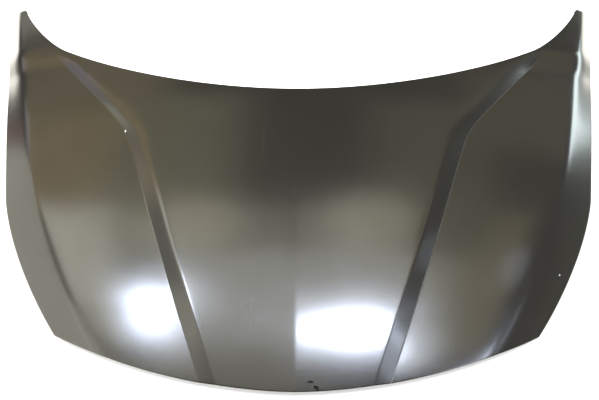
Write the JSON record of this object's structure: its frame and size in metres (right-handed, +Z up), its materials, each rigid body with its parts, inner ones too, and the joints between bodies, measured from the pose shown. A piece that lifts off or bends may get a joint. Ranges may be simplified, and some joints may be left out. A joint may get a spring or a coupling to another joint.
{
  "type": "car bonnet",
  "caption": "Bare steel car bonnet with a raised middle, two bent crease lines, rolled sides, rear horns and a pressed inner frame with cut-outs",
  "frame": {"origin": "on the surface that the bonnet lies on, under the middle of its bounding box", "axes": "+X across the car, to the right in the picture; -Y towards the nose; +Z up, away from the engine"},
  "size_m": [1.5136, 1.062, 0.1682],
  "materials": {
    "skin_steel": "satin bare steel, lightly marked",
    "frame_steel": "satin bare pressed steel",
    "plate_steel": "satin bare steel plate",
    "nut_steel": "plain machined steel",
    "mastic": "matte cured mastic"
  },
  "bodies": {
    "root": {"outer_skin": "skin_steel", "inner_frame": "frame_steel", "latch_reinforcement": "plate_steel", "latch_nut_left": "nut_steel", "latch_nut_right": "nut_steel", "hinge_reinforcement_left": "plate_steel", "hinge_nut_left_front": "nut_steel", "hinge_nut_left_rear": "nut_steel", "hinge_reinforcement_right": "plate_steel", "hinge_nut_right_front": "nut_steel", "hinge_nut_right_rear": "nut_steel", "mastic_pad_left_01": "mastic", "mastic_pad_left_02": "mastic", "mastic_pad_left_03": "mastic", "mastic_pad_left_04": "mastic", "mastic_pad_left_05": "mastic", "mastic_pad_left_06": "mastic", "mastic_pad_left_07": "mastic", "mastic_pad_left_08": "mastic", "mastic_pad_left_09": "mastic", "mastic_pad_left_10": "mastic", "mastic_pad_left_11": "mastic", "mastic_pad_left_12": "mastic", "mastic_pad_left_13": "mastic", "mastic_pad_left_14": "mastic", "mastic_pad_left_15": "mastic", "mastic_pad_left_16": "mastic", "mastic_pad_right_01": "mastic", "mastic_pad_right_02": "mastic", "mastic_pad_right_03": "mastic", "mastic_pad_right_04": "mastic", "mastic_pad_right_05": "mastic", "mastic_pad_right_06": "mastic", "mastic_pad_right_07": "mastic", "mastic_pad_right_08": "mastic", "mastic_pad_right_09": "mastic", "mastic_pad_right_10": "mastic", "mastic_pad_right_11": "mastic", "mastic_pad_right_12": "mastic", "mastic_pad_right_13": "mastic", "mastic_pad_right_14": "mastic", "mastic_pad_right_15": "mastic", "mastic_pad_right_16": "mastic"}
  },
  "joints": []
}
